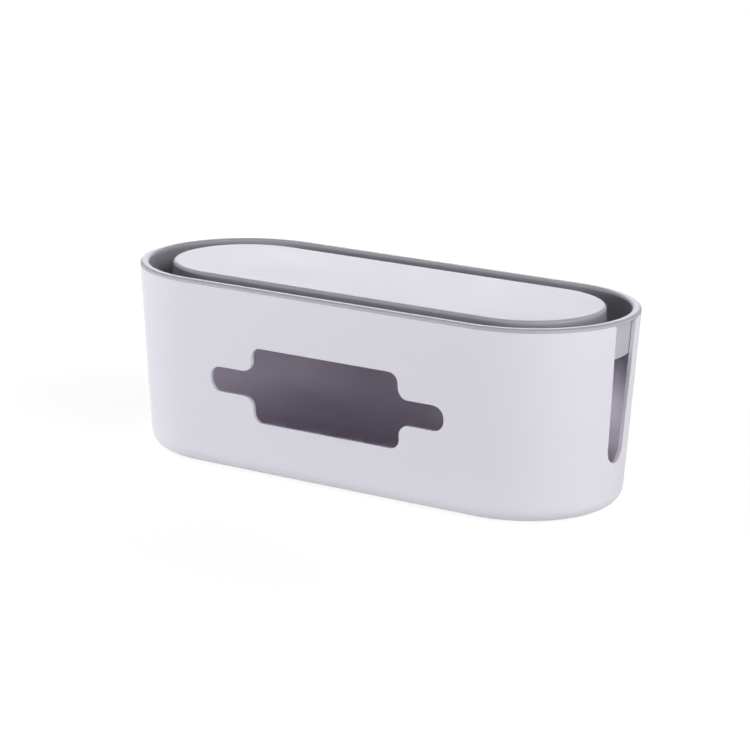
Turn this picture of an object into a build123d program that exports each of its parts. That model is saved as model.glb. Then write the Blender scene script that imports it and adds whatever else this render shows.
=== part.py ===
"""Cable management box: a drafted case with a lift-off lid, on four rubber feet.

Millimetres. +Z is up, +X runs along the box, and the window is in the -Y wall.
The origin is on the surface that the box stands on, below the middle of the case.
"""

import os
from math import cos, hypot, radians, sin, tan

from build123d import *

# ---------------------------------------------------------------- driving dimensions
length = 320.0  # over the rim, end to end
width = 129.5  # over the rim, front to back
height = 112.7  # from the underside of the case to the top of the rim
draft = 3.72  # slope of the case walls from the vertical, in degrees

case_wall = 2.5  # wall and floor of the case
case_bottom_radius = 10.0  # outside rounding between the wall and the floor
case_inside_chamfer = 4.4  # keeps the wall's thickness behind that rounding
cut_edge_chamfer = 0.3  # outside edges of the window and the slots

window_width = 99.0  # tall middle part of the window
window_height = 44.9
window_centre_height = 55.4  # above the underside of the case
window_corner_radius = 6.0
tab_span = 158.2  # over both side tabs of the window
tab_height = 14.9
tab_corner_radius = 7.0
tab_root_radius = 6.6

slot_bottom_radius = 8.4  # round lower end of each end slot
slot_bottom_height = 29.3  # lowest point of the slot above the underside of the case
slot_flare = 2.4  # outward slope of each side of the slot, in degrees
slot_mouth_radius = 1.5  # rounding of the wall where the slot meets its top edge

vent_width = 16.6
vent_length = 26.0
vent_pitch = 28.0
vent_end_margin = 46.0  # shortest way from the rim's end to the first vent's pitch cell
vent_row_centre = 25.3  # from the middle of the floor to the middle of a vent

lid_wall = 2.4  # skirt, channel floor and plateau
lid_clearance = 0.3  # between the lid's skirt and the inside of the case wall
flange_height = 2.2  # band of the lid that shows above the case wall
skirt_depth = 23.0  # from the top of the rim to the underside of the channel
channel_width = 14.6  # between the rim and the plateau, at the top
plateau_draft = 1.5  # slope of the plateau's side, in degrees
rim_edge_chamfer = 1.2  # both top edges of the rim
plateau_edge_radius = 1.8  # top edge of the plateau
channel_corner_chamfer = 1.2  # both corners of the channel floor
skirt_edge_chamfer = 0.8  # lower outside corner of the skirt

foot_diameter = 18.0
foot_standoff = 1.5  # height of the case above the surface that it stands on
foot_recess = 0.8  # depth of the recess that locates each foot
foot_fit = 0.15  # radial clearance of a foot in its recess
foot_end_inset = 40.0  # from the rim's end to the middle of a foot
foot_side_inset = 39.2  # from the rim's side to the middle of a foot

# ---------------------------------------------------------------- derived sizes
near = 0.05  # how far a point may lie from the outline it is matched to

case_underside = foot_standoff
floor_top = case_underside + case_wall
rim_top = case_underside + height
wall_top = rim_top - flange_height

window_z = case_underside + window_centre_height
slot_centre_z = case_underside + slot_bottom_height + slot_bottom_radius
slot_side_y = slot_bottom_radius * cos(radians(slot_flare))
slot_side_z = slot_centre_z - slot_bottom_radius * sin(radians(slot_flare))
slot_mouth_y = slot_side_y + (wall_top - slot_side_z) * tan(radians(slot_flare))
vents_per_row = int((length - 2 * vent_end_margin) / vent_pitch)

skirt_inset = case_wall + lid_clearance
rim_width = skirt_inset + lid_wall
skirt_bottom = rim_top - skirt_depth
channel_floor = skirt_bottom + lid_wall
channel_depth = rim_top - channel_floor
channel_inset = rim_width + channel_depth * tan(radians(draft))
plateau_inset = rim_width + channel_width
plateau_foot_inset = plateau_inset - channel_depth * tan(radians(plateau_draft))
hollow_inset = plateau_foot_inset + lid_wall

foot_x = length / 2 - foot_end_inset
foot_y = width / 2 - foot_side_inset


def draft_inset(z):
    """How far the drafted outside has moved inwards from the rim at height z."""
    return (rim_top - z) * tan(radians(draft))


def stadium(inset):
    """The rim's outline, moved inwards by inset all round."""
    return SlotOverall(length - 2 * inset, width - 2 * inset)


def inset_of(point):
    """How far a point lies inside the rim's outline, seen from above."""
    past_straight = max(abs(point.X) - (length - width) / 2, 0)
    return width / 2 - hypot(past_straight, point.Y)


def loop_at(builder, z, inset):
    """The closed loop of edges at height z that lies inset inside the rim's outline."""
    level = builder.edges().filter_by_position(Axis.Z, z - near, z + near)
    return level.filter_by(lambda edge: abs(inset_of(edge @ 0.5) - inset) < near)


def outside_cut_edges(builder):
    """Edges where the window and the slots meet the drafted outside."""
    above_bottom = case_underside + case_bottom_radius + near

    def is_cut_edge(edge):
        middle = edge @ 0.5
        on_outside = abs(inset_of(middle) - draft_inset(middle.Z)) < near
        on_wall_seam = abs(abs(middle.X) - (length - width) / 2) < near
        on_cut = above_bottom < middle.Z < wall_top - near
        return on_outside and on_cut and not on_wall_seam

    return builder.edges().filter_by(is_cut_edge)


# ---------------------------------------------------------------- case
with BuildPart() as case:
    with BuildSketch(Plane.XY.offset(wall_top)):
        stadium(draft_inset(wall_top))
    extrude(amount=case_underside - wall_top, taper=draft)
    with BuildSketch(Plane.XY.offset(wall_top)):
        stadium(draft_inset(wall_top) + case_wall)
    extrude(amount=floor_top - wall_top, taper=draft, mode=Mode.SUBTRACT)
    floor_edges = loop_at(case, floor_top, draft_inset(floor_top) + case_wall)
    chamfer(floor_edges, length=case_inside_chamfer)
    fillet(case.edges().group_by(Axis.Z)[0], radius=case_bottom_radius)

    # Window: a tall middle with a tab on each side, through the front wall only.
    with BuildSketch(Plane.XZ) as window:
        with Locations((0, window_z)):
            RectangleRounded(window_width, window_height, window_corner_radius)
            RectangleRounded(tab_span, tab_height, tab_corner_radius)
        # A sketch's vertices are given in its own plane: X along the wall, Y up.
        tab_roots = window.vertices().filter_by(
            lambda v: abs(abs(v.X) - window_width / 2) < near
            and abs(abs(v.Y - window_z) - tab_height / 2) < near
        )
        fillet(tab_roots, radius=tab_root_radius)
    extrude(amount=width / 2, mode=Mode.SUBTRACT)

    # End slots: round below, with flared sides, and open at the rounded mouth.
    with BuildSketch(Plane.YZ) as slot:
        mouth_edge_y = slot_mouth_y + 2 * slot_mouth_radius
        mouth_edge_z = wall_top + 2 * slot_mouth_radius
        with BuildLine():
            ThreePointArc(
                (slot_side_y, slot_side_z),
                (0, slot_centre_z - slot_bottom_radius),
                (-slot_side_y, slot_side_z),
            )
            Polyline(
                (-slot_side_y, slot_side_z),
                (-slot_mouth_y, wall_top),
                (-mouth_edge_y, wall_top),
                (-mouth_edge_y, mouth_edge_z),
                (mouth_edge_y, mouth_edge_z),
                (mouth_edge_y, wall_top),
                (slot_mouth_y, wall_top),
                (slot_side_y, slot_side_z),
            )
        make_face()
        # In this sketch's own plane X runs across the slot and Y up.
        mouth_corners = slot.vertices().filter_by(
            lambda v: abs(abs(v.X) - slot_mouth_y) < near and abs(v.Y - wall_top) < near
        )
        fillet(mouth_corners, radius=slot_mouth_radius)
    extrude(amount=length / 2, both=True, mode=Mode.SUBTRACT)
    chamfer(outside_cut_edges(case), length=cut_edge_chamfer)

    # Vents: two rows of round-ended slots in the floor.
    with BuildSketch(Plane.XY.offset(case_underside)):
        with GridLocations(vent_pitch, 2 * vent_row_centre, vents_per_row, 2):
            SlotOverall(vent_length, vent_width, rotation=90)
    extrude(amount=case_wall, mode=Mode.SUBTRACT)

    # Recesses that locate the feet.
    with BuildSketch(Plane.XY.offset(case_underside)):
        with GridLocations(2 * foot_x, 2 * foot_y, 2, 2):
            Circle(foot_diameter / 2 + foot_fit)
    extrude(amount=foot_recess, mode=Mode.SUBTRACT)
case.part.label = "case"

# ---------------------------------------------------------------- lid
with BuildPart() as lid:
    # Flange, level with the outside of the case, and the block inside the case wall.
    with BuildSketch(Plane.XY.offset(rim_top)):
        stadium(0)
    extrude(amount=-flange_height, taper=draft)
    with BuildSketch(Plane.XY.offset(wall_top)):
        stadium(draft_inset(wall_top) + skirt_inset)
    extrude(amount=skirt_bottom - wall_top, taper=draft)

    # Channel: the block is hollowed down to the channel floor, and the plateau is left in it.
    with BuildSketch(Plane.XY.offset(rim_top)):
        stadium(rim_width)
    extrude(amount=-channel_depth, taper=draft, mode=Mode.SUBTRACT)
    with BuildSketch(Plane.XY.offset(rim_top)):
        stadium(plateau_inset)
    extrude(amount=-channel_depth, taper=-plateau_draft)

    # Hollow under the plateau, open below.
    with BuildSketch(Plane.XY.offset(skirt_bottom)):
        stadium(hollow_inset)
    extrude(amount=channel_depth, taper=plateau_draft, mode=Mode.SUBTRACT)

    fillet(loop_at(lid, rim_top, plateau_inset), radius=plateau_edge_radius)
    rim_edges = loop_at(lid, rim_top, 0) + loop_at(lid, rim_top, rim_width)
    chamfer(rim_edges, length=rim_edge_chamfer)
    skirt_edges = loop_at(lid, skirt_bottom, draft_inset(skirt_bottom) + skirt_inset)
    chamfer(skirt_edges, length=skirt_edge_chamfer)
    channel_corners = loop_at(lid, channel_floor, channel_inset)
    channel_corners += loop_at(lid, channel_floor, plateau_foot_inset)
    chamfer(channel_corners, length=channel_corner_chamfer)
lid.part.label = "lid"

# ---------------------------------------------------------------- feet
pieces = [case.part, lid.part]
for side_y, side in ((-foot_y, "front"), (foot_y, "back")):
    for end_x, end in ((-foot_x, "left"), (foot_x, "right")):
        with BuildPart() as foot:
            with BuildSketch(Plane.XY):
                with Locations((end_x, side_y)):
                    Circle(foot_diameter / 2)
            extrude(amount=foot_standoff + foot_recess)
        foot.part.label = f"foot_{side}_{end}"
        pieces.append(foot.part)

# ---------------------------------------------------------------- files
os.makedirs("parts", exist_ok=True)
for piece in pieces:
    export_step(piece, f"parts/{piece.label}.step")
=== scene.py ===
"""Looks of the cable management box: a drafted case, its lift-off lid and four rubber feet.

Metres. +Z is up, +X runs along the box, and the window is in the -Y wall.
Each piece is one closed surface of grids that numpy works out and that share their edges.
Every edge is rounded, so each vertex has one exact normal.
"""

from math import atan2, ceil, cos, pi, radians, sin, tan

import bpy
import numpy as np
from mathutils import Matrix, Vector, geometry

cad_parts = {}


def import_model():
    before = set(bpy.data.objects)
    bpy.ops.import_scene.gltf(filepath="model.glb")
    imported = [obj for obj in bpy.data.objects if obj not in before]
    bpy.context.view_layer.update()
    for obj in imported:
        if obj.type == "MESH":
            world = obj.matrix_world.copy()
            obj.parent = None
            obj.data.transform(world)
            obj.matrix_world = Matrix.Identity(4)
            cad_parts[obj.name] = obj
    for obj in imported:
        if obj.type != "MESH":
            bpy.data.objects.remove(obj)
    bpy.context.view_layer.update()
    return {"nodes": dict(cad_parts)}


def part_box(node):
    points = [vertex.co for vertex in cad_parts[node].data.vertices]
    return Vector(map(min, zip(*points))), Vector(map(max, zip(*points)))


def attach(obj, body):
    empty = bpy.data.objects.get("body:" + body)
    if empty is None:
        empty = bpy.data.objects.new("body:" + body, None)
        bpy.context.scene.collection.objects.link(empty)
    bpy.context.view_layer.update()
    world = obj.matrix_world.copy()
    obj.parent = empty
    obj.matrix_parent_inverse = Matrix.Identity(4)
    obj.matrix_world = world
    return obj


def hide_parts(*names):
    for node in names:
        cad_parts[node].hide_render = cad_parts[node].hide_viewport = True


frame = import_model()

# ---------------------------------------------------------------- sizes from the frame
MM = 0.001
CASE_LOW, CASE_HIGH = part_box("case")
LID_LOW, LID_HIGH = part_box("lid")
FEET = {name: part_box(name) for name in sorted(frame["nodes"]) if name.startswith("foot")}

# The box's outline is a stadium: straights of 2 * HALF_STRAIGHT, and round ends.
RIM_RADIUS = LID_HIGH.y
HALF_STRAIGHT = LID_HIGH.x - LID_HIGH.y
RIM_TOP = LID_HIGH.z
SKIRT_BOTTOM = LID_LOW.z
WALL_TOP = CASE_HIGH.z
UNDERSIDE = CASE_LOW.z

# ---------------------------------------------------------------- case
DRAFT = radians(3.72)
WALL = 2.5 * MM
FLOOR_TOP = UNDERSIDE + WALL
BOTTOM_RADIUS = 10 * MM
CUT_EDGE = 0.3 * MM  # rounding of the wall's top, the window, the slots and the vents

WINDOW_Z = UNDERSIDE + 55.4 * MM
WINDOW_WIDTH = 99.0 * MM
WINDOW_HEIGHT = 44.9 * MM
WINDOW_CORNER = 6.0 * MM
TAB_SPAN = 158.2 * MM
TAB_HEIGHT = 14.9 * MM
TAB_CORNER = 7.0 * MM
TAB_ROOT = 6.6 * MM

SLOT_RADIUS = 8.4 * MM
SLOT_BOTTOM = UNDERSIDE + 29.3 * MM
SLOT_FLARE = radians(2.4)
SLOT_MOUTH = 1.5 * MM

VENT_WIDTH = 16.6 * MM
VENT_LENGTH = 26.0 * MM
VENT_PITCH = 28.0 * MM
VENTS_PER_ROW = 8
VENT_ROW = 25.3 * MM

# ---------------------------------------------------------------- lid
LID_WALL = 2.4 * MM
LID_CLEARANCE = 0.3 * MM
CHANNEL_WIDTH = 14.6 * MM
PLATEAU_DRAFT = radians(1.5)
PLATEAU_EDGE = 1.9 * MM
RIM_EDGE = 1.75 * MM  # rim's outer top edge
RIM_INSIDE_EDGE = 1.7 * MM  # rim's top edge at the channel
FLANGE_EDGE = 0.3 * MM  # flange's lower edge, against the wall's top
FLANGE_CORNER = 0.2 * MM  # between the flange and the skirt
CHANNEL_CORNER = 1.6 * MM
SKIRT_EDGE = 0.9 * MM
HOLLOW_EDGE = 0.5 * MM
HOLLOW_CORNER = 1.0 * MM

RIM_WIDTH = WALL + LID_CLEARANCE + LID_WALL
CHANNEL_FLOOR = SKIRT_BOTTOM + LID_WALL
CHANNEL_DEPTH = RIM_TOP - CHANNEL_FLOOR

# ---------------------------------------------------------------- feet
FOOT_EDGE = 0.45 * MM
FOOT_FIT = 0.15 * MM
RECESS_EDGE = 0.1 * MM

# ---------------------------------------------------------------- fineness of the meshes
ARC_STEP = radians(12)  # along a rounding
SLOT_STEP = radians(6)  # round the outline of the window and the slots
END_STEP = radians(2.5)  # round the ends of the box
STRAIGHT_STEPS = 16  # along each side of the box
VENT_STEP = radians(9)  # round the ends of a vent
VENT_STRAIGHT_STEPS = 2
FOOT_STEPS = 72
LONG_STEP = 9 * MM  # along a straight stretch of an outline
SLOT_BAND = radians(20)  # half of the end wall that is laid out round a slot
BAND_STEPS = 6  # from a slot to its band's frame
CORNER_STEPS = 8  # of a slot's half round that lie beside its band's lower corner
SAME_POINT = 1e-6  # how near to each other points are one
SAME_SPOT = 1e-9  # the same, while a flat stretch is filled
FILL_LOOPS = 1  # fills a flat stretch inside its loops only

# ---------------------------------------------------------------- finishes
SHARP = 1 / (3 * MM)  # curvature at which a rounding counts fully as an edge
FINER_GRAIN = 0.35  # size and depth of the finer pits, as shares of the coarser ones
GRAIN_DETAIL = 2.0  # octaves of the noise
FINER_DETAIL = 1.0
CLOUD_DETAIL = 3.0


# ---------------------------------------------------------------- lines
def turned(vectors, angle):
    """Flat vectors turned by an angle, counterclockwise."""
    c, s = np.cos(angle), np.sin(angle)
    across, up = vectors[..., 0], vectors[..., 1]
    return np.stack([c * across - s * up, s * across + c * up], -1)


def rounding(before, corner, after, radius, step=ARC_STEP):
    """Arc that is tangent to both legs of a corner, and its normals, which are on the left of the way.

    The line turns by tau. The arc starts radius * tan(|tau| / 2) before the corner, and its points are its
    centre minus sign(tau) * radius times the normal, which turns along with the line.
    """
    towards, away = corner - before, after - corner
    turn = atan2(towards[0] * away[1] - towards[1] * away[0], towards @ away)
    towards = towards / np.linalg.norm(towards)
    side = np.sign(turn) * radius
    normal = turned(towards, pi / 2)
    centre = corner - towards * radius * tan(abs(turn) / 2) + side * normal
    normals = turned(normal, turn * np.linspace(0, 1, ceil(abs(turn) / step) + 1))
    return centre - side * normals, normals


def rounded(corners, step=ARC_STEP, closed=False):
    """Points and normals along a line of corners (across, up, radius) that are rounded off.

    An open line starts and ends in its first and last corners. Long straight stretches are divided evenly.
    """
    corners = np.array(corners, float)
    spots, radii = corners[:, :2], corners[:, 2]
    if not closed:
        spots = np.concatenate([spots[:1] * 2 - spots[1:2], spots, spots[-1:] * 2 - spots[-2:-1]])
        radii = np.concatenate([[0], radii, [0]])
    before, after = np.roll(spots, 1, 0), np.roll(spots, -1, 0)
    arcs = [rounding(*legs, step) for legs in zip(before, spots, after, radii)]
    if not closed:
        arcs = arcs[1:-1]
    points, normals = [], []
    for (here, facing), (following, _) in zip(arcs, arcs[1:] + arcs[:1]):
        gap = following[0] - here[-1]
        count = ceil(np.linalg.norm(gap) / LONG_STEP)
        shares = np.arange(1, count)[:, None] / max(count, 1)
        points += [here, here[-1] + shares * gap]
        normals += [facing, np.repeat(facing[-1:], len(shares), 0)]
    if not closed:
        points, normals = points[:-1], normals[:-1]
    points, normals = np.concatenate(points), np.concatenate(normals)
    apart = np.linalg.norm(points - np.roll(points, 1, 0), axis=1) > SAME_POINT
    apart[0] |= not closed
    return points[apart], normals[apart]


def racetrack(half_straight, end_angles, straight_steps=1, at=(0, 0), turn=0.0):
    """Path round a stadium: base points on its middle line, and the outward angle at each.

    It starts at the front of the right end, whose angles are given, and runs counterclockwise.
    """
    along = np.linspace(1, -1, straight_steps + 1)[1:-1]
    quarter = np.full(len(along), pi / 2)
    ones = np.ones(len(end_angles))
    angle = np.concatenate([end_angles, quarter, end_angles + pi, quarter + pi]) + turn
    share = np.concatenate([ones, along, -ones, -along])[:, None]
    base = np.array(at) + share * half_straight * np.array([cos(turn), sin(turn)])
    return base, angle


def circle(at, steps):
    """Path round one point."""
    angle = np.linspace(0, 2 * pi, steps, endpoint=False)
    return np.repeat(np.array([at], float), steps, 0), angle


def evenly(start, stop, step):
    """Angles from start to stop, in even steps of at most the given one."""
    return np.linspace(start, stop, ceil((stop - start) / step - SAME_POINT) + 1)


def ring(path, distance):
    """Loop of flat points at a distance outwards from a path's base."""
    base, angle = path
    return base + distance * np.stack([np.cos(angle), np.sin(angle)], -1)


# ---------------------------------------------------------------- surfaces
# A surface is its points, their normals, their inner mask and its triangles. The inner mask is 0 on a
# piece's show side and 1 on the side that is turned away inside the box;
# the materials make that side duller and give it a lighter colour, which is painted light in its shade.
def triangulated(points, normals, inner, triangles):
    """Surface whose triangles are wound so that they face the way of its normals."""
    a, b, c = (points[triangles[:, i]] for i in range(3))
    facing = normals[triangles].sum(1)
    inwards = (np.cross(b - a, c - a) * facing).sum(1) < 0
    triangles[inwards] = triangles[inwards][:, ::-1]
    return points, normals, inner, triangles


def grid(points, normals, inner, closed=False):
    """Surface over a grid of points; where it is closed, the last column meets the first.

    The inner mask is one number, or one for each row.
    """
    rows, columns = points.shape[:2]
    index = np.arange(rows * columns).reshape(rows, columns)
    if closed:
        index = np.concatenate([index, index[:, :1]], 1)
    a, b, c, d = index[:-1, :-1], index[1:, :-1], index[1:, 1:], index[:-1, 1:]
    triangles = np.concatenate([np.stack([a, b, c], -1), np.stack([a, c, d], -1)]).reshape(-1, 3)
    mask = np.repeat(inner * np.ones(rows), columns)
    return triangulated(points.reshape(-1, 3), normals.reshape(-1, 3), mask, triangles)


def carried(profile, path, inner, closed=True):
    """A profile of (distance, height) carried along a path: base + distance * outward, at height."""
    (line, facing), (base, angle) = profile, path
    outward = np.stack([np.cos(angle), np.sin(angle)], -1)[None]
    points = np.empty((len(line), len(angle), 3))
    points[..., :2] = base[None] + line[:, None, :1] * outward
    points[..., 2] = line[:, 1:]
    normals = np.empty_like(points)
    normals[..., :2] = facing[:, None, :1] * outward
    normals[..., 2] = facing[:, 1:]
    return grid(points, normals, inner, closed)


def flat(outline, holes, place, inner):
    """Flat stretch inside an outline and outside its holes; place puts its points on their surface."""
    loops = [outline, *holes]
    ends = np.cumsum([len(loop) for loop in loops])
    faces = [list(range(end - len(loop), end)) for loop, end in zip(loops, ends)]
    spots = np.concatenate(loops)
    corners = [Vector(spot) for spot in spots]
    filled = geometry.delaunay_2d_cdt(corners, [], faces, FILL_LOOPS, SAME_SPOT)
    _, _, triangles, sources, _, loops_round = filled
    between = [triangle for triangle, within in zip(triangles, loops_round) if list(within) == [0]]
    points, normals = place(spots[[source[0] for source in sources]])
    return triangulated(points, normals, np.full(len(points), float(inner)), np.array(between))


def level(height, up):
    """Puts flat points on a level plane that faces up (1) or down (-1)."""

    def place(spots):
        heights = np.full((len(spots), 1), height)
        normals = np.tile([0.0, 0.0, up], (len(spots), 1))
        return np.concatenate([spots, heights], 1), normals

    return place


def edge_mask(points, normals, triangles):
    """1 on the roundings and 0 on the flats beside them.

    A triangle's curvature is the most that the normal changes along one of its sides, divided by the
    side's length. A vertex takes the least of its triangles, as a share of SHARP.
    """
    sides = [(triangles[:, i], triangles[:, (i + 1) % 3]) for i in range(3)]
    bends = [
        np.linalg.norm(normals[i] - normals[j], axis=1) / np.linalg.norm(points[i] - points[j], axis=1)
        for i, j in sides
    ]
    least = np.full(len(points), np.inf)
    np.minimum.at(least, triangles.reshape(-1), np.repeat(np.max(bends, 0), 3))
    return np.clip(least / SHARP, 0, 1)


def piece(name, surfaces, node, body, material):
    """One closed mesh of surfaces whose shared points become one vertex, in place of a CAD node."""
    starts = np.cumsum([0] + [len(surface[0]) for surface in surfaces])
    points, normals, inner = (np.concatenate([surface[i] for surface in surfaces]) for i in range(3))
    triangles = np.concatenate([surface[3] + start for surface, start in zip(surfaces, starts)])
    cells = np.round(points / SAME_POINT).astype(np.int64)
    _, first, vertex_of = np.unique(cells, axis=0, return_index=True, return_inverse=True)
    points, normals, inner = points[first], normals[first], inner[first]
    triangles = vertex_of.reshape(-1)[triangles]
    a, b, c = triangles.T
    triangles = triangles[(a != b) & (b != c) & (c != a)]
    mesh = bpy.data.meshes.new(name)
    mesh.from_pydata(points, [], triangles)
    mesh.normals_split_custom_set_from_vertices(normals)
    for mask, values in (("inner", inner), ("edge", edge_mask(points, normals, triangles))):
        mesh.attributes.new(mask, "FLOAT", "POINT").data.foreach_set("value", values.astype(np.float32))
    mesh.materials.append(material)
    made = bpy.data.objects.new(name, mesh)
    bpy.context.scene.collection.objects.link(made)
    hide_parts(node)
    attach(made, body)
    return made


# ---------------------------------------------------------------- case
def wall_radius(height, inner):
    """Distance of the wall from the box's middle line: it leans out, and is WALL thick."""
    return RIM_RADIUS - (RIM_TOP - height) * tan(DRAFT) - inner * WALL


def skin(base, angle, height, inner):
    """Points and normals of the wall's outer (inner=0) or inner (inner=1) surface."""
    radius = wall_radius(height, inner)[..., None]
    outward = np.stack([np.cos(angle), np.sin(angle)], -1)
    points = np.concatenate([base + radius * outward, height[..., None]], -1)
    lean = np.full(outward.shape[:-1] + (1,), -sin(DRAFT))
    normals = np.concatenate([outward * cos(DRAFT), lean], -1) * (1 - 2 * inner)
    return points, normals


def on_end(spots, inner, end):
    """The wall at a round end, for points (across, height): the angle's sine is across / radius."""
    across, height = spots[..., 0], spots[..., 1]
    angle = np.arcsin(across / wall_radius(height, inner))
    angle = angle if end > 0 else pi - angle
    return skin(np.array([end * HALF_STRAIGHT, 0.0]), angle, height, inner)


def on_front(spots, inner):
    """The flat front wall, for points (along, height)."""
    along, height = spots[..., 0], spots[..., 1]
    base = np.stack([along, np.zeros_like(along)], -1)
    return skin(base, np.full(along.shape, -pi / 2), height, inner)


def cut_edge(place, toward, columns):
    """Edge of a cut through the wall, in this many columns: a rounding, the cut face and a rounding.

    place(back, inner) gives the wall's surface, set back from the cut. At phi round a rounding of radius r
    a point is set back by r (1 - sin phi) and is r (1 - cos phi) deep; its normal is cos phi times the
    wall's plus sin phi times the direction towards the opening.
    """
    phi = np.repeat(evenly(0, pi / 2, ARC_STEP)[:, None], columns, 1)
    back = CUT_EDGE * (1 - np.sin(phi))
    deep = CUT_EDGE * (1 - np.cos(phi))
    thick = np.linalg.norm(place(0 * back, 0)[0] - place(0 * back, 1)[0], axis=-1)
    sides = []
    for inner in (0, 1):
        (here, facing), (there, _) = place(back, inner), place(back, 1 - inner)
        points = here + (there - here) * (deep / thick)[..., None]
        normals = np.cos(phi)[..., None] * facing + np.sin(phi)[..., None] * toward
        sides.append((points, normals))
    (outside, outside_normals), (inside, inside_normals) = sides
    points = np.concatenate([outside, inside[::-1]])
    normals = np.concatenate([outside_normals, inside_normals[::-1]])
    return grid(points, normals, np.repeat([0.0, 1.0], len(phi)))


def window_outline():
    """The window in its wall: a tall middle with a tab on each side, counterclockwise."""
    wide, high = WINDOW_WIDTH / 2, WINDOW_HEIGHT / 2
    tab, low = TAB_SPAN / 2, TAB_HEIGHT / 2
    quarter = np.array([(tab, low, TAB_CORNER), (wide, low, TAB_ROOT), (wide, high, WINDOW_CORNER)])
    half = np.concatenate([quarter, quarter[::-1] * (-1, 1, 1)])
    outline, toward = rounded(np.concatenate([half, half * (-1, -1, 1)]), SLOT_STEP, closed=True)
    return outline + (0, WINDOW_Z), toward


def slot_outline():
    """An end slot: two rounded mouths in the wall's top, and a half round between flared sides.

    The flared sides would meet below the slot, where the slot's radius rounds them off.
    """
    meet = SLOT_BOTTOM + SLOT_RADIUS - SLOT_RADIUS / sin(SLOT_FLARE)
    mouth = (WALL_TOP - meet) * tan(SLOT_FLARE)
    beside = mouth + 2 * SLOT_MOUTH
    corners = [
        (-beside, WALL_TOP, 0),
        (-mouth, WALL_TOP, SLOT_MOUTH),
        (0, meet, SLOT_RADIUS),
        (mouth, WALL_TOP, SLOT_MOUTH),
        (beside, WALL_TOP, 0),
    ]
    points, toward = rounded(corners, SLOT_STEP)
    return points[1:-1], toward[1:-1]


# Outlines of the openings, and the same lines set back to where their edge roundings start.
WINDOW, WINDOW_TOWARD = window_outline()
WINDOW_BACK = WINDOW - CUT_EDGE * WINDOW_TOWARD
SLOT, SLOT_TOWARD = slot_outline()
SLOT_BACK = SLOT - CUT_EDGE * SLOT_TOWARD

# Columns of the wall: even ones beside a slot's band, and in the band as many as the slot's half round
# has points, less those that lie beside the band's lower corners.
HALF_ROUND = ceil((pi - 2 * SLOT_FLARE) / SLOT_STEP) + 1
SLOT_SIDE = (len(SLOT) - HALF_ROUND) // 2 + 1
BAND = np.linspace(-SLOT_BAND, SLOT_BAND, HALF_ROUND - 2 * CORNER_STEPS)[1:-1]
QUARTER = evenly(SLOT_BAND, pi / 2, END_STEP)
END_ANGLES = np.concatenate([-QUARTER[::-1], BAND, QUARTER])
CASE_PATH = racetrack(HALF_STRAIGHT, END_ANGLES, STRAIGHT_STEPS)
CASE_BASE, CASE_ANGLE = CASE_PATH
HALF_WAY = len(CASE_ANGLE) // 2
BACK = np.arange(len(END_ANGLES) - len(QUARTER), HALF_WAY + len(QUARTER))
FRONT = (BACK + HALF_WAY) % len(CASE_ANGLE)
BAND_SHARES = np.linspace(0, 1, BAND_STEPS + 1)


def floor_rounding(inner):
    """Profile of the rounding between the wall and the floor, from the wall down."""
    floor = FLOOR_TOP if inner else UNDERSIDE
    radius = BOTTOM_RADIUS - inner * WALL
    on_floor = np.array([0, floor])
    corner = np.array([wall_radius(floor, inner), floor])
    on_wall = np.array([wall_radius(WALL_TOP, inner), WALL_TOP])
    if inner:
        line, facing = rounding(on_floor, corner, on_wall, radius)
        return line[::-1], facing[::-1]
    return rounding(on_wall, corner, on_floor, radius)


def slot_band(rows, inner, end):
    """The end wall round a slot: even shares of the way from its outline to the band's frame."""
    frame_rows = np.concatenate([rows, np.full(len(BAND), rows[-1]), rows[::-1]])
    side = np.full(len(rows), SLOT_BAND)
    frame_across = wall_radius(frame_rows, inner) * np.sin(np.concatenate([-side, BAND, side]))
    frame_line = np.stack([frame_across, frame_rows], -1)
    spots = SLOT_BACK + BAND_SHARES[:, None, None] * (frame_line - SLOT_BACK)
    return grid(*on_end(spots, inner, end), inner)


def front_wall(rows, inner):
    """The flat front wall round its window."""
    along = CASE_BASE[FRONT[len(QUARTER) - 1 : 1 - len(QUARTER)], 0]
    low, high = (np.stack([along, np.full(len(along), rows[i])], -1) for i in (-1, 0))
    left, right = (np.stack([np.full(len(rows) - 2, along[i]), rows[1:-1]], -1) for i in (0, -1))
    outline = np.concatenate([low, right[::-1], high[::-1], left])
    return flat(outline, [WINDOW_BACK], lambda spots: on_front(spots, inner), inner)


def wall_surfaces(inner):
    """The wall's outer or inner side, down to the floor. Its rows are those of a slot's side, then even."""
    line, facing = floor_rounding(inner)
    beside_slot = SLOT_BACK[:SLOT_SIDE, 1]
    below_slot = np.linspace(beside_slot[-1], line[0, 1], CORNER_STEPS + 1)[1:]
    rows = np.concatenate([beside_slot, below_slot])
    profile = np.stack([wall_radius(rows, inner), rows], -1), np.repeat(facing[:1], len(rows), 0)
    quarter = len(QUARTER)
    made = [carried((line, facing), CASE_PATH, inner)]
    for stretch in (BACK, FRONT[:quarter], FRONT[-quarter:]):
        made.append(carried(profile, (CASE_BASE[stretch], CASE_ANGLE[stretch]), inner, closed=False))
    made += [slot_band(rows, inner, end) for end in (-1, 1)]
    return made + [front_wall(rows, inner)]


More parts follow.
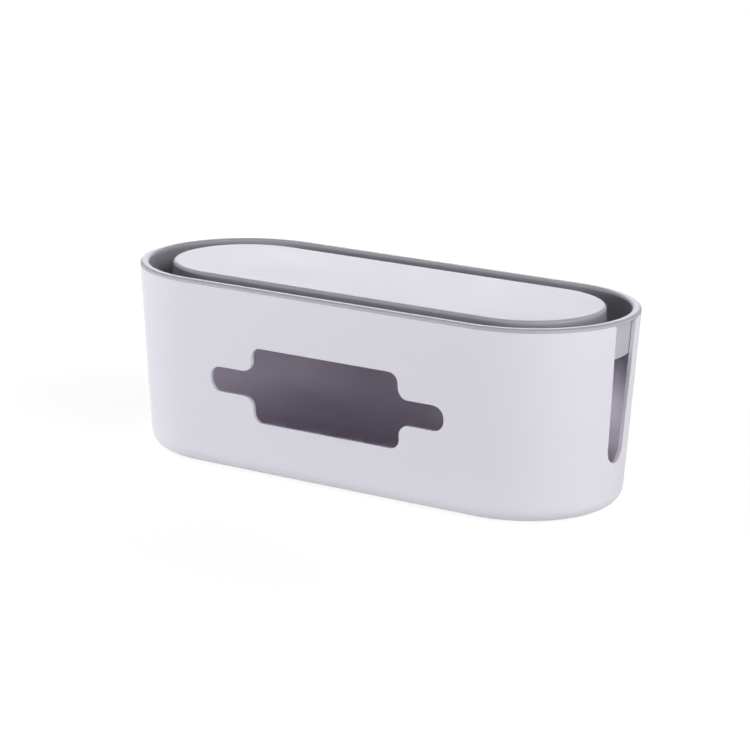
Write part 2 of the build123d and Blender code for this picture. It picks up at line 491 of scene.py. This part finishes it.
def top_edge(stretch):
    """Top of the wall from one slot's mouth to the other's.

    Beside a slot the points go from the mouth's end to the stretch's first angle in even shares.
    """
    lead = len(BAND_SHARES) - 1
    columns = np.concatenate([np.repeat(stretch[:1], lead), stretch, np.repeat(stretch[-1:], lead)])
    base, angle = CASE_BASE[columns], CASE_ANGLE[columns]
    share = np.concatenate([BAND_SHARES[:-1], np.ones(len(stretch)), BAND_SHARES[:-1][::-1]])
    side = np.concatenate([np.ones(lead), np.zeros(len(stretch)), -np.ones(lead)])
    mouth_end = abs(SLOT[0, 0])

    def place(back, inner):
        height = WALL_TOP - back
        reach = (1 - share) * mouth_end / wall_radius(height, inner) + share * sin(SLOT_BAND)
        return skin(base, angle - side * (SLOT_BAND - np.arcsin(reach)), height, inner)

    return cut_edge(place, (0, 0, 1), len(angle))


def slot_edge(end):
    """Edge of an end slot."""

    def place(back, inner):
        return on_end(SLOT - back[..., None] * SLOT_TOWARD, inner, end)

    return cut_edge(place, np.insert(SLOT_TOWARD, 0, 0, axis=1), len(SLOT))


def window_edge():
    """Edge of the window, from one point all round to the same point."""
    loop, toward = (np.concatenate([line, line[:1]]) for line in (WINDOW, WINDOW_TOWARD))

    def place(back, inner):
        return on_front(loop - back[..., None] * toward, inner)

    return cut_edge(place, np.insert(toward, 1, 0, axis=1), len(loop))


def floor_surfaces():
    """The floor's two sides, the vents through it and the recess over each foot."""
    half_straight = (VENT_LENGTH - VENT_WIDTH) / 2
    end_angles = evenly(-pi / 2, pi / 2, VENT_STEP)
    vents = [
        racetrack(half_straight, end_angles, VENT_STRAIGHT_STEPS, at=(x, y), turn=pi / 2)
        for x in VENT_PITCH * (np.arange(VENTS_PER_ROW) - (VENTS_PER_ROW - 1) / 2)
        for y in (-VENT_ROW, VENT_ROW)
    ]
    vent = VENT_WIDTH / 2
    vent_back = vent + CUT_EDGE
    through = [
        (vent_back, UNDERSIDE, 0),
        (vent, UNDERSIDE, CUT_EDGE),
        (vent, FLOOR_TOP, CUT_EDGE),
        (vent_back, FLOOR_TOP, 0),
    ]
    line, facing = rounded(through)
    made = [carried((line, facing), hole, (line[:, 1] - UNDERSIDE) / WALL) for hole in vents]
    recesses = []
    for low, high in FEET.values():
        spot, wide = foot_place(low, high)
        seat = wide + FOOT_FIT
        hole = circle(spot, FOOT_STEPS)
        recesses.append(ring(hole, seat + RECESS_EDGE))
        profile = [
            (seat + RECESS_EDGE, UNDERSIDE, 0),
            (seat, UNDERSIDE, RECESS_EDGE),
            (seat, high.z, RECESS_EDGE),
            (0, high.z, 0),
        ]
        made.append(carried(rounded(profile), hole, 0))
    vent_rings = [ring(hole, vent_back) for hole in vents]
    under, upper = (ring(CASE_PATH, floor_rounding(inner)[0][-1, 0]) for inner in (0, 1))
    made.append(flat(under, vent_rings + recesses, level(UNDERSIDE, -1), 0))
    made.append(flat(upper, vent_rings, level(FLOOR_TOP, 1), 1))
    return made


def case_surfaces():
    """All surfaces of the case, outside and inside."""
    walls = wall_surfaces(0) + wall_surfaces(1)
    edges = [top_edge(BACK), top_edge(FRONT), slot_edge(-1), slot_edge(1), window_edge()]
    return walls + edges + floor_surfaces()


# ---------------------------------------------------------------- lid
def lid_surfaces():
    """One profile carried round the box: plateau, channel, rim, flange, skirt and the hollow below."""
    plateau = RIM_RADIUS - RIM_WIDTH - CHANNEL_WIDTH
    plateau_foot = plateau + CHANNEL_DEPTH * tan(PLATEAU_DRAFT)
    rim_inside = RIM_RADIUS - RIM_WIDTH
    flange = wall_radius(WALL_TOP, 0)
    skirt = flange - WALL - LID_CLEARANCE
    skirt_low = skirt - (WALL_TOP - SKIRT_BOTTOM) * tan(DRAFT)
    hollow = plateau_foot - LID_WALL
    ceiling = SKIRT_BOTTOM + CHANNEL_DEPTH
    profile = [
        (0, RIM_TOP, 0),
        (plateau, RIM_TOP, PLATEAU_EDGE),
        (plateau_foot, CHANNEL_FLOOR, CHANNEL_CORNER),
        (rim_inside - CHANNEL_DEPTH * tan(DRAFT), CHANNEL_FLOOR, CHANNEL_CORNER),
        (rim_inside, RIM_TOP, RIM_INSIDE_EDGE),
        (RIM_RADIUS, RIM_TOP, RIM_EDGE),
        (flange, WALL_TOP, FLANGE_EDGE),
        (skirt, WALL_TOP, FLANGE_CORNER),
        (skirt_low, SKIRT_BOTTOM, SKIRT_EDGE),
        (hollow, SKIRT_BOTTOM, HOLLOW_EDGE),
        (hollow - CHANNEL_DEPTH * tan(PLATEAU_DRAFT), ceiling, HOLLOW_CORNER),
        (0, ceiling, 0),
    ]
    line, facing = rounded(profile)
    flange_corner = np.argmin(np.linalg.norm(line - (flange, WALL_TOP), axis=1))
    below = (np.arange(len(line)) > flange_corner).astype(float)
    path = racetrack(HALF_STRAIGHT, evenly(-pi / 2, pi / 2, END_STEP), STRAIGHT_STEPS)
    return [carried((line, facing), path, below)]


# ---------------------------------------------------------------- feet
def foot_place(low, high):
    """Middle and radius of a foot, from its box in the frame."""
    return ((low.x + high.x) / 2, (low.y + high.y) / 2), (high.x - low.x) / 2


def foot_surfaces(low, high):
    """A round pad: its profile turned round its middle."""
    spot, wide = foot_place(low, high)
    profile = [(0, high.z, 0), (wide, high.z, RECESS_EDGE), (wide, low.z, FOOT_EDGE), (0, low.z, 0)]
    return [carried(rounded(profile), circle(spot, FOOT_STEPS), 0)]


# ---------------------------------------------------------------- shader nodes
# Places of a Mix node's colour sockets, whose names are also those of its number sockets.
COLOUR_A, COLOUR_B, COLOUR_RESULT = 6, 7, 2


def node(tree, kind, inputs, **settings):
    """New node with its settings, and each input set to a value or linked to an output."""
    made = tree.nodes.new(kind)
    for name, value in settings.items():
        setattr(made, name, value)
    for socket, value in inputs.items():
        if isinstance(value, bpy.types.NodeSocket):
            tree.links.new(value, made.inputs[socket])
        else:
            made.inputs[socket].default_value = value
    return made


def maths(tree, operation, *values):
    """Output of a Math node on numbers and outputs."""
    return node(tree, "ShaderNodeMath", dict(enumerate(values)), operation=operation).outputs[0]


def mixed(tree, share, a, b):
    """Number between a and b."""
    return node(tree, "ShaderNodeMix", {0: share, "A": a, "B": b}).outputs["Result"]


def mixed_colour(tree, share, a, b):
    """Colour between a and b."""
    colours = {0: share, COLOUR_A: a, COLOUR_B: b}
    return node(tree, "ShaderNodeMix", colours, data_type="RGBA").outputs[COLOUR_RESULT]


def cloud(tree, place, size, detail):
    """Soft noise from -1 to 1 whose patches are about the given size."""
    scale = maths(tree, "DIVIDE", 1.0, size)
    noise = node(tree, "ShaderNodeTexNoise", {"Vector": place, "Scale": scale, "Detail": detail})
    return maths(tree, "MULTIPLY_ADD", noise.outputs["Fac"], 2.0, -1.0)


def group(name, inputs, outputs):
    """New shader node group: its tree, and the sockets of its input and output nodes."""
    tree = bpy.data.node_groups.new(name, "ShaderNodeTree")
    for label, kind in inputs.items():
        tree.interface.new_socket(label, in_out="INPUT", socket_type="NodeSocket" + kind)
    for label, kind in outputs.items():
        tree.interface.new_socket(label, in_out="OUTPUT", socket_type="NodeSocket" + kind)
    return tree, tree.nodes.new("NodeGroupInput").outputs, tree.nodes.new("NodeGroupOutput").inputs


def mould_grain():
    """Height of the fine grain that an etched mould leaves: pits of one size, and finer ones."""
    inputs = {"Place": "Vector", "Grain Size": "Float"}
    tree, given, gives = group("mould_grain", inputs, {"Height": "Float"})
    coarse = cloud(tree, given["Place"], given["Grain Size"], GRAIN_DETAIL)
    finer = maths(tree, "MULTIPLY", given["Grain Size"], FINER_GRAIN)
    fine = cloud(tree, given["Place"], finer, FINER_DETAIL)
    tree.links.new(maths(tree, "MULTIPLY_ADD", fine, FINER_GRAIN, coarse), gives["Height"])
    return tree


def resin_tone():
    """Colour of the resin, which clouds by a small share where it flowed."""
    inputs = {"Place": "Vector", "Color": "Color", "Spread": "Float", "Cloud Size": "Float"}
    tree, given, gives = group("resin_tone", inputs, {"Color": "Color"})
    drift = cloud(tree, given["Place"], given["Cloud Size"], CLOUD_DETAIL)
    share = maths(tree, "MULTIPLY_ADD", drift, given["Spread"], 1.0)
    scaled = node(tree, "ShaderNodeVectorMath", {0: given["Color"], "Scale": share}, operation="SCALE")
    tree.links.new(scaled.outputs[0], gives["Color"])
    return tree


def handled_satin():
    """Roughness of a satin skin: it clouds a little, and handling burnishes its edges."""
    inputs = {
        "Place": "Vector",
        "Roughness": "Float",
        "Spread": "Float",
        "Cloud Size": "Float",
        "Edge": "Float",
        "Edge Roughness": "Float",
    }
    tree, given, gives = group("handled_satin", inputs, {"Roughness": "Float"})
    drift = cloud(tree, given["Place"], given["Cloud Size"], CLOUD_DETAIL)
    skin_roughness = maths(tree, "MULTIPLY_ADD", drift, given["Spread"], given["Roughness"])
    worn = mixed(tree, given["Edge"], skin_roughness, given["Edge Roughness"])
    tree.links.new(worn, gives["Roughness"])
    return tree


def mask(tree, name):
    """Output of a mask that piece() wrote on the mesh."""
    return node(tree, "ShaderNodeAttribute", {}, attribute_name=name).outputs["Fac"]


def material(name, show, inside, tone, satin, grain, bump):
    """Moulded material from its colours and its values for each effect.

    show and inside are (colour, roughness) of the show side and of the side turned away. Where the inside
    colour is lighter than the show colour, it is painted light on that shaded side.
    """
    made = bpy.data.materials.new(name)
    made.use_nodes = True
    tree = made.node_tree
    shader = tree.nodes["Principled BSDF"]
    place = node(tree, "ShaderNodeTexCoord", {}).outputs["Object"]
    inner, edge = mask(tree, "inner"), mask(tree, "edge")
    # the inner side takes the inside colour, a lighter copy that is painted light in the box's shade
    colour = mixed_colour(tree, inner, (*show[0], 1), (*inside[0], 1))
    roughness = mixed(tree, inner, show[1], inside[1])
    effects = {
        "Base Color": (RESIN_TONE, {"Color": colour, **tone}),
        "Roughness": (HANDLED_SATIN, {"Roughness": roughness, "Edge": edge, **satin}),
    }
    for socket, (effect, values) in effects.items():
        used = node(tree, "ShaderNodeGroup", {"Place": place, **values}, node_tree=effect)
        tree.links.new(used.outputs[0], shader.inputs[socket])
    pits = node(tree, "ShaderNodeGroup", {"Place": place, "Grain Size": grain}, node_tree=MOULD_GRAIN)
    relief = node(tree, "ShaderNodeBump", {"Height": pits.outputs[0], "Distance": bump})
    tree.links.new(relief.outputs[0], shader.inputs["Normal"])
    return made


MOULD_GRAIN, RESIN_TONE, HANDLED_SATIN = mould_grain(), resin_tone(), handled_satin()

# White plastic of the case, and a greyer one of the lid; a mould is left duller on its inner side.
# Their inner sides are also lighter, the case's purpler too: painted light in the box's shaded inside and
# on the lid's skirt.
PLASTIC_SKIN = {
    "tone": {"Spread": 0.012, "Cloud Size": 60 * MM},
    "satin": {"Spread": 0.025, "Cloud Size": 35 * MM, "Edge Roughness": 0.5},
    "grain": 0.45 * MM,
    "bump": 0.02 * MM,
}
CASE_PLASTIC = material(
    "case_plastic",
    show=((0.75, 0.74, 0.81), 0.42),
    # lighter and purpler than the show side: painted light in the shaded inside of the case
    inside=((0.825, 0.757, 0.877), 0.55),
    **PLASTIC_SKIN,
)
LID_PLASTIC = material(
    "lid_plastic",
    show=((0.45, 0.436, 0.48), 0.45),
    # lighter than the show side: painted light on the skirt in the shade of the slots
    inside=((0.475, 0.465, 0.50), 0.55),
    **PLASTIC_SKIN,
)
FOOT_RUBBER = material(
    "foot_rubber",
    show=((0.035, 0.035, 0.038), 0.75),
    inside=((0.035, 0.035, 0.038), 0.75),
    tone={"Spread": 0.15, "Cloud Size": 4 * MM},
    satin={"Spread": 0.06, "Cloud Size": 3 * MM, "Edge Roughness": 0.6},
    grain=0.7 * MM,
    bump=0.015 * MM,
)

piece("case_shell", case_surfaces(), "case", "case", CASE_PLASTIC)
piece("lid_shell", lid_surfaces(), "lid", "lid", LID_PLASTIC)
for foot, (low, high) in FEET.items():
    piece(foot + "_pad", foot_surfaces(low, high), foot, "case", FOOT_RUBBER)

# ---------------------------------------------------------------- camera
IMAGE = 750  # pixels each way
AZIMUTH = radians(32.345)
ELEVATION = radians(14.542)
ROLL = radians(0.906)
DISTANCE = 1.6279
TARGET = Vector((0, 0, UNDERSIDE + 60 * MM))
FOCAL_PIXELS = 2791.0
CENTRE_X, CENTRE_Y = 382.01, 368.43  # pixel of the lens's axis
SENSOR = 36.0
NEAR_CLIP = 0.05


def camera():
    """Camera that looks at TARGET from the right of the front, slightly above."""
    back = Vector((sin(AZIMUTH) * cos(ELEVATION), -cos(AZIMUTH) * cos(ELEVATION), sin(ELEVATION)))
    level_right = Vector((cos(AZIMUTH), sin(AZIMUTH), 0))
    level_up = back.cross(level_right)
    right = cos(ROLL) * level_right + sin(ROLL) * level_up
    up = cos(ROLL) * level_up - sin(ROLL) * level_right
    lens = bpy.data.cameras.new("camera")
    made = bpy.data.objects.new("camera", lens)
    bpy.context.scene.collection.objects.link(made)
    place = Matrix((right, up, back)).transposed().to_4x4()
    place.translation = TARGET + back * DISTANCE
    made.matrix_world = place
    lens.sensor_width = SENSOR
    lens.lens = FOCAL_PIXELS * SENSOR / IMAGE
    lens.shift_x = (IMAGE / 2 - CENTRE_X) / IMAGE
    lens.shift_y = (CENTRE_Y - IMAGE / 2) / IMAGE
    lens.clip_start = NEAR_CLIP
    bpy.context.scene.camera = made


# ---------------------------------------------------------------- studio
FLOOR_SPAN = 10.0
FLOOR_ALBEDO = 0.8
FLOOR_SHADOW = 0.35  # how much of the light on the floor, and so of the shadow, the camera sees
FLOOR_GLOW = 0.84  # near the box
FLOOR_NEAR, FLOOR_FAR = 0.2, 0.7  # distances from the middle between which the glow rises to white
WORLD_LIGHT = 0.035
LAMP_DISTANCE = 1.8


def white_when_seen(tree, unseen, seen):
    """Number that is seen for camera, glossy and transmission rays, and unseen for the others."""
    rays = node(tree, "ShaderNodeLightPath", {}).outputs
    straight = maths(tree, "MAXIMUM", rays["Is Camera Ray"], rays["Is Transmission Ray"])
    return mixed(tree, maths(tree, "MAXIMUM", straight, rays["Is Glossy Ray"]), unseen, seen)


def floor():
    """Pale floor: for the camera it glows to near white, and keeps a part of the box's shadow."""
    mesh = bpy.data.meshes.new("floor")
    reach = FLOOR_SPAN / 2
    corners = [(-reach, -reach, 0), (reach, -reach, 0), (reach, reach, 0), (-reach, reach, 0)]
    mesh.from_pydata(corners, [], [(0, 1, 2, 3)])
    made = bpy.data.objects.new("floor", mesh)
    bpy.context.scene.collection.objects.link(made)
    pale = bpy.data.materials.new("floor")
    pale.use_nodes = True
    tree = pale.node_tree
    shader = tree.nodes["Principled BSDF"]
    shader.inputs["Specular IOR Level"].default_value = 0.0
    shader.inputs["Roughness"].default_value = 1.0
    shader.inputs["Emission Color"].default_value = (1, 1, 1, 1)
    tree.links.new(white_when_seen(tree, FLOOR_ALBEDO, FLOOR_SHADOW), shader.inputs["Base Color"])
    place = node(tree, "ShaderNodeTexCoord", {}).outputs["Object"]
    away = node(tree, "ShaderNodeVectorMath", {0: place}, operation="LENGTH").outputs["Value"]
    limits = {"From Min": FLOOR_NEAR, "From Max": FLOOR_FAR, "To Min": FLOOR_GLOW}
    glow = node(tree, "ShaderNodeMapRange", {"Value": away, **limits}).outputs["Result"]
    tree.links.new(white_when_seen(tree, 0.0, glow), shader.inputs["Emission Strength"])
    mesh.materials.append(pale)


def world():
    """Even pale surroundings, which the camera and reflections see as white."""
    made = bpy.data.worlds.new("studio")
    bpy.context.scene.world = made
    made.use_nodes = True
    tree = made.node_tree
    background = tree.nodes["Background"]
    background.inputs["Color"].default_value = (1, 1, 1, 1)
    tree.links.new(white_when_seen(tree, WORLD_LIGHT, 1.0), background.inputs["Strength"])


def softbox(name, azimuth, elevation, size, power, colour=(1, 1, 1)):
    """Area lamp that faces the box from LAMP_DISTANCE; azimuth 0 is the front and 90 the right end."""
    around, above = radians(azimuth), radians(elevation)
    lamp = bpy.data.lights.new(name, "AREA")
    lamp.shape = "RECTANGLE"
    lamp.size, lamp.size_y = size
    lamp.energy = power
    lamp.color = colour
    made = bpy.data.objects.new(name, lamp)
    bpy.context.scene.collection.objects.link(made)
    towards = Vector((sin(around) * cos(above), -cos(around) * cos(above), sin(above)))
    made.location = TARGET + towards * LAMP_DISTANCE
    made.rotation_euler = towards.to_track_quat("Z", "Y").to_euler()


bpy.context.scene.view_settings.view_transform = "Standard"
camera()
floor()
world()
softbox("left_of_front", azimuth=-50, elevation=4.8, size=(2.1, 0.24), power=25.4)
softbox("front", azimuth=28, elevation=15, size=(0.8, 0.2), power=0.8)
softbox("right", azimuth=72, elevation=8, size=(1.6, 0.4), power=14.2, colour=(1.0, 1.0, 0.98))
softbox("right_high", azimuth=74, elevation=34, size=(1.0, 0.7), power=10.0)
softbox("behind_left", azimuth=-148, elevation=18, size=(1.4, 0.5), power=14.3, colour=(0.92, 0.91, 1.0))
